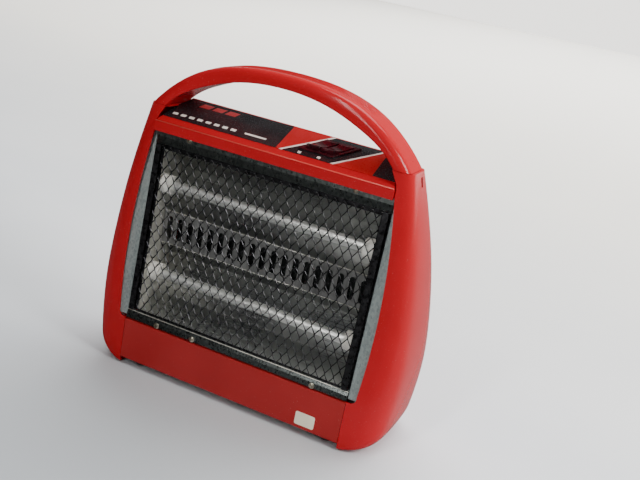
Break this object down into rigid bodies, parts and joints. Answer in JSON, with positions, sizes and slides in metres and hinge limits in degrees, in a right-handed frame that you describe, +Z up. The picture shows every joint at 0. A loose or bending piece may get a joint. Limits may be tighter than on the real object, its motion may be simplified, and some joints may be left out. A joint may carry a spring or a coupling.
{
  "type": "portable radiant quartz heater",
  "caption": "Upright portable room heater: quartz heating tubes with ceramic caps behind a diamond wire guard, red casings, arched carry handle, sloped panel with a rocker switch.",
  "frame": {"origin": "middle of the bounding box's footprint, on the floor under the feet", "axes": "+X to the heater's right as seen from the front, +Y from the wire guard to the rear cover, +Z up"},
  "size_m": [0.3358, 0.118, 0.3315],
  "materials": {
    "red_gloss": "glossy moulded red",
    "red_panel": "semi-gloss red enamel on steel",
    "galvanised": "spangled zinc-coated steel",
    "rail_steel": "smooth zinc-coated strip",
    "mirror_steel": "polished reflector sheet",
    "dull_steel": "satin aluminised sheet",
    "black_wire": "blackened wire",
    "quartz": "milky fused quartz",
    "heating_wire": "oxidised resistance wire",
    "ceramic": "matt white ceramic",
    "label_print": "printed glossy film",
    "switch_red": "dark red translucent plastic",
    "paper_label": "blank cream sticker",
    "zinc": "zinc-plated screw",
    "steel_pin": "spring steel",
    "brass": "tinned brass",
    "black_rubber": "black rubber",
    "black_plastic": "black moulded plastic",
    "white_plastic": "white moulded plastic",
    "wire_sleeve": "glass-fibre sleeved wire"
  },
  "bodies": {
    "root": {"left_side_casing": "red_gloss", "right_side_casing": "red_gloss", "carry_handle": "red_gloss", "handle_grip_cover": "red_gloss", "handle_screws": "zinc", "control_housing": "red_gloss", "control_label": "label_print", "switch_frame": "switch_red", "rocker_shaft": "steel_pin", "switch_terminals": "brass", "left_window_plate": "galvanised", "right_window_plate": "galvanised", "top_rail": "rail_steel", "bottom_rail": "rail_steel", "rail_screws": "zinc", "guard_mesh": "black_wire", "left_guard_channel": "black_wire", "right_guard_channel": "black_wire", "front_lower_panel": "red_panel", "rating_label": "paper_label", "upper_reflector": "mirror_steel", "lower_reflector": "mirror_steel", "centre_vent_strip": "dull_steel", "left_chamber_wall": "dull_steel", "right_chamber_wall": "dull_steel", "upper_quartz_tube": "quartz", "lower_quartz_tube": "quartz", "upper_heating_coil": "heating_wire", "lower_heating_coil": "heating_wire", "rear_cover": "red_panel", "rear_cover_screws": "zinc", "rear_heat_shield": "galvanised", "cord_inlet_bush": "black_rubber", "base_plate": "galvanised", "base_screws": "zinc", "tip_switch_case": "black_plastic", "tip_switch_spring": "steel_pin", "thermal_cutout": "black_plastic", "terminal_block": "white_plastic", "internal_wiring": "wire_sleeve", "ceramic_cap_upper_left": "ceramic", "cap_clip_upper_left": "steel_pin", "ceramic_cap_upper_right": "ceramic", "cap_clip_upper_right": "steel_pin", "ceramic_cap_lower_left": "ceramic", "cap_clip_lower_left": "steel_pin", "ceramic_cap_lower_right": "ceramic", "cap_clip_lower_right": "steel_pin", "foot_front_left": "black_rubber", "foot_front_right": "black_rubber", "foot_back_left": "black_rubber", "foot_back_right": "black_rubber"},
    "low_rocker": {"low_heat_rocker": "switch_red"},
    "high_rocker": {"high_heat_rocker": "switch_red"},
    "tip_plunger": {"tip_switch_plunger": "black_plastic"}
  },
  "joints": [
    {"name": "low_heat_press", "type": "hinge", "parent": "root", "child": "low_rocker", "pos_m": [0.0407, -0.02674, 0.27108], "axis": [1, 0, 0], "range_deg": [0, 14]},
    {"name": "high_heat_press", "type": "hinge", "parent": "root", "child": "high_rocker", "pos_m": [0.0559, -0.02674, 0.27108], "axis": [1, 0, 0], "range_deg": [0, 14]},
    {"name": "tip_switch_drop", "type": "slide", "parent": "root", "child": "tip_plunger", "axis": [0, 0, -1], "range_m": [0, 0.006], "stiffness_N_per_m": 40, "springref_m": 0.012, "deforming": ["tip_switch_spring"]}
  ]
}
